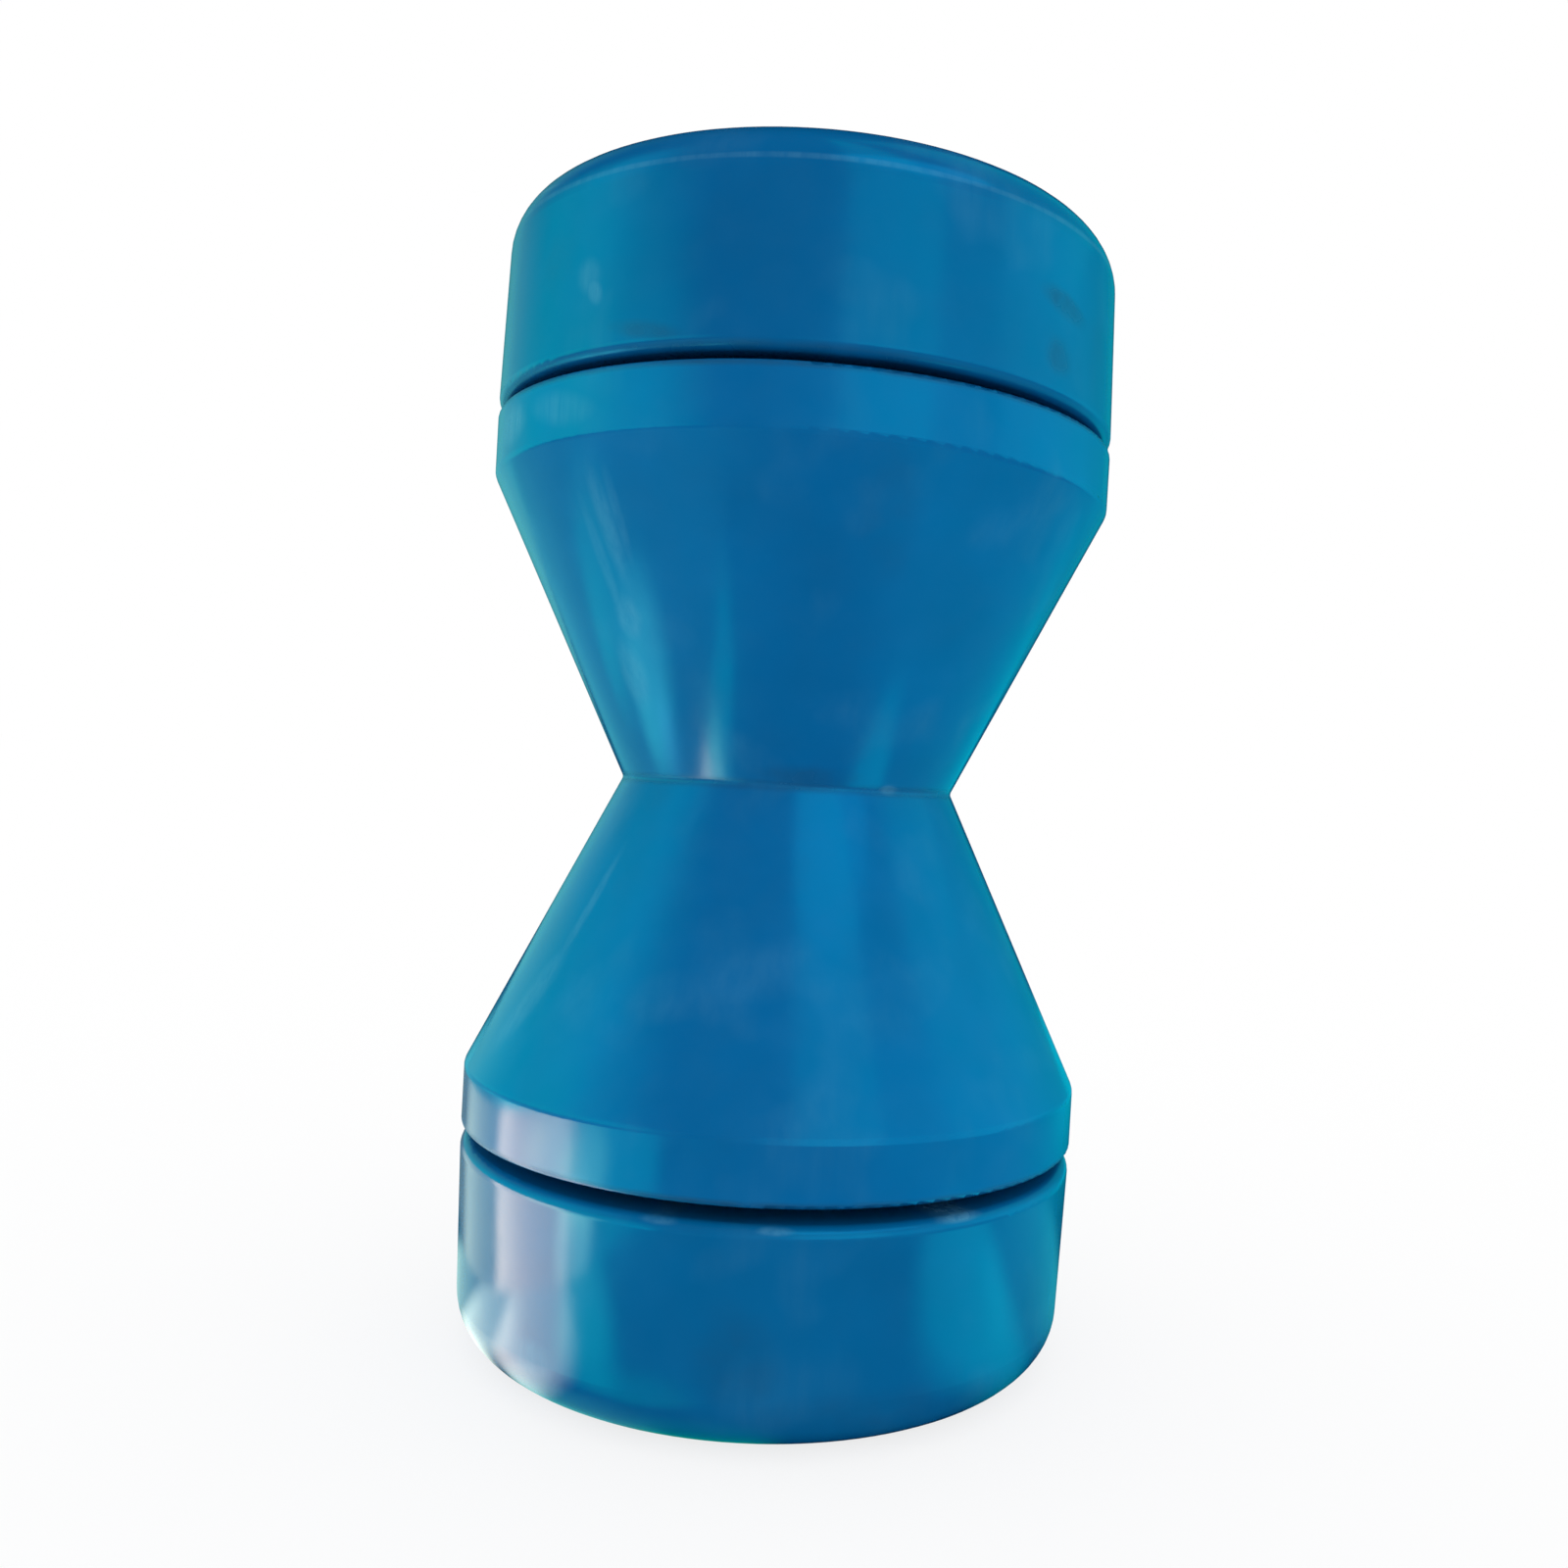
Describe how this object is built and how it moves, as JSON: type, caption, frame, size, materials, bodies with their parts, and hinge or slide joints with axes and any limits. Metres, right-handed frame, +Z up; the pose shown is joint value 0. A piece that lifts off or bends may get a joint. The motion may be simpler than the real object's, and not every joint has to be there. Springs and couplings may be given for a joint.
{
  "type": "boat trailer bow roller with end bells",
  "caption": "Hourglass bow roller for a boat trailer with a cup-shaped bell over each end, turning on one pin through a common bore.",
  "frame": {"origin": "centre of the lower bell's flat outer face, on the pin's axis, where the part stands", "axes": "+Z up along the pin's axis from the lower bell to the upper bell; the part is round about it, so +X is any direction across the axis"},
  "size_m": [0.091, 0.091, 0.1634],
  "materials": {
    "blue_poly": "satin injection moulded polymer, coloured through"
  },
  "bodies": {
    "lower_bell": {"lower_bell": "blue_poly"},
    "roller": {"roller": "blue_poly"},
    "upper_bell": {"upper_bell": "blue_poly"}
  },
  "joints": [
    {"name": "roller_turn", "type": "hinge", "parent": "lower_bell", "child": "roller", "pos_m": [0, 0, 0.0822], "axis": [0, 0, 1], "continuous": true},
    {"name": "upper_bell_turn", "type": "hinge", "parent": "roller", "child": "upper_bell", "pos_m": [0, 0, 0.1482], "axis": [0, 0, 1], "continuous": true}
  ]
}
